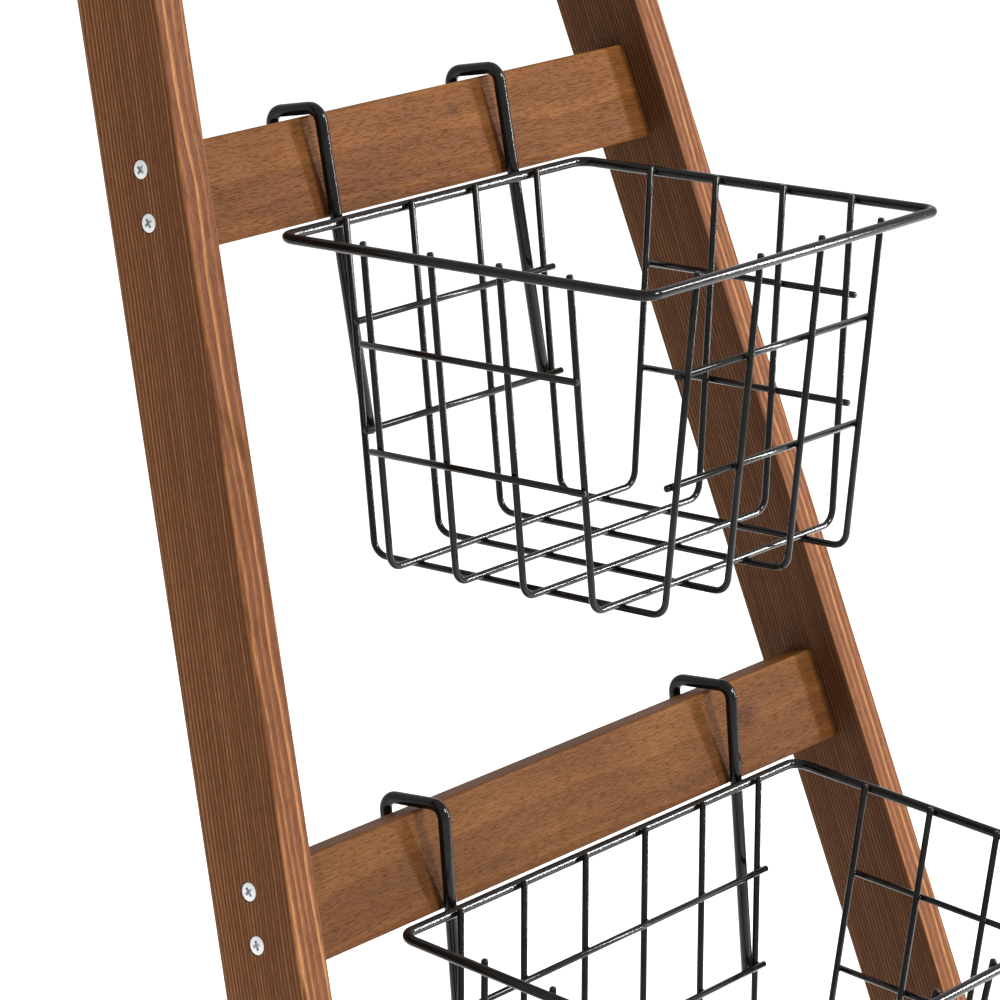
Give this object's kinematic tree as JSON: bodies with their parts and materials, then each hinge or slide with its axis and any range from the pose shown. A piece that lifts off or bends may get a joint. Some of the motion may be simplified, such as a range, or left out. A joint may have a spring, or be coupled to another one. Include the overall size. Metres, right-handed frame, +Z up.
{
  "type": "leaning ladder shelf",
  "caption": "Narrow wooden ladder that leans on a wall, wider at the foot, with black wire baskets hooked over its rungs.",
  "frame": {"origin": "on the floor where it meets the wall that the ladder leans on, midway between the rails", "axes": "+Z up, +X to the right seen from the front, +Y back into the wall; the front faces -Y"},
  "size_m": [0.5652, 0.4383, 1.003],
  "materials": {
    "rail_wood": "stained, satin",
    "rung_wood": "stained, satin",
    "screw_steel": "bright zinc",
    "basket_wire": "gloss"
  },
  "bodies": {
    "ladder": {"left_rail": "rail_wood", "right_rail": "rail_wood", "rung_1": "rung_wood", "rung_2": "rung_wood", "rung_3": "rung_wood", "rung_1_left_screw_top": "screw_steel", "rung_1_left_screw_low": "screw_steel", "rung_1_right_screw_top": "screw_steel", "rung_1_right_screw_low": "screw_steel", "rung_2_left_screw_top": "screw_steel", "rung_2_left_screw_low": "screw_steel", "rung_2_right_screw_top": "screw_steel", "rung_2_right_screw_low": "screw_steel", "rung_3_left_screw_top": "screw_steel", "rung_3_left_screw_low": "screw_steel", "rung_3_right_screw_top": "screw_steel", "rung_3_right_screw_low": "screw_steel"},
    "upper_basket": {"upper_basket_rim": "basket_wire", "upper_basket_cage": "basket_wire", "upper_basket_back_rod_upper": "basket_wire", "upper_basket_front_rod_upper": "basket_wire", "upper_basket_left_rod_upper": "basket_wire", "upper_basket_right_rod_upper": "basket_wire", "upper_basket_back_rod_lower": "basket_wire", "upper_basket_front_rod_lower": "basket_wire", "upper_basket_left_rod_lower": "basket_wire", "upper_basket_right_rod_lower": "basket_wire", "upper_basket_left_hook": "basket_wire", "upper_basket_right_hook": "basket_wire"},
    "middle_basket": {"middle_basket_rim": "basket_wire", "middle_basket_cage": "basket_wire", "middle_basket_back_rod_upper": "basket_wire", "middle_basket_front_rod_upper": "basket_wire", "middle_basket_left_rod_upper": "basket_wire", "middle_basket_right_rod_upper": "basket_wire", "middle_basket_back_rod_lower": "basket_wire", "middle_basket_front_rod_lower": "basket_wire", "middle_basket_left_rod_lower": "basket_wire", "middle_basket_right_rod_lower": "basket_wire", "middle_basket_left_hook": "basket_wire", "middle_basket_right_hook": "basket_wire"},
    "lower_basket": {"lower_basket_rim": "basket_wire", "lower_basket_cage": "basket_wire", "lower_basket_back_rod_upper": "basket_wire", "lower_basket_front_rod_upper": "basket_wire", "lower_basket_left_rod_upper": "basket_wire", "lower_basket_right_rod_upper": "basket_wire", "lower_basket_back_rod_lower": "basket_wire", "lower_basket_front_rod_lower": "basket_wire", "lower_basket_left_rod_lower": "basket_wire", "lower_basket_right_rod_lower": "basket_wire", "lower_basket_left_hook": "basket_wire", "lower_basket_right_hook": "basket_wire"}
  },
  "joints": [
    {"name": "upper_basket_lift", "type": "slide", "parent": "ladder", "child": "upper_basket", "axis": [0, 0.1901, 0.9818], "range_m": [0, 0.06]},
    {"name": "middle_basket_lift", "type": "slide", "parent": "ladder", "child": "middle_basket", "axis": [0, 0.0865, 0.9963], "range_m": [0, 0.06]},
    {"name": "lower_basket_lift", "type": "slide", "parent": "ladder", "child": "lower_basket", "axis": [0, 0.1212, 0.9926], "range_m": [0, 0.06]}
  ]
}
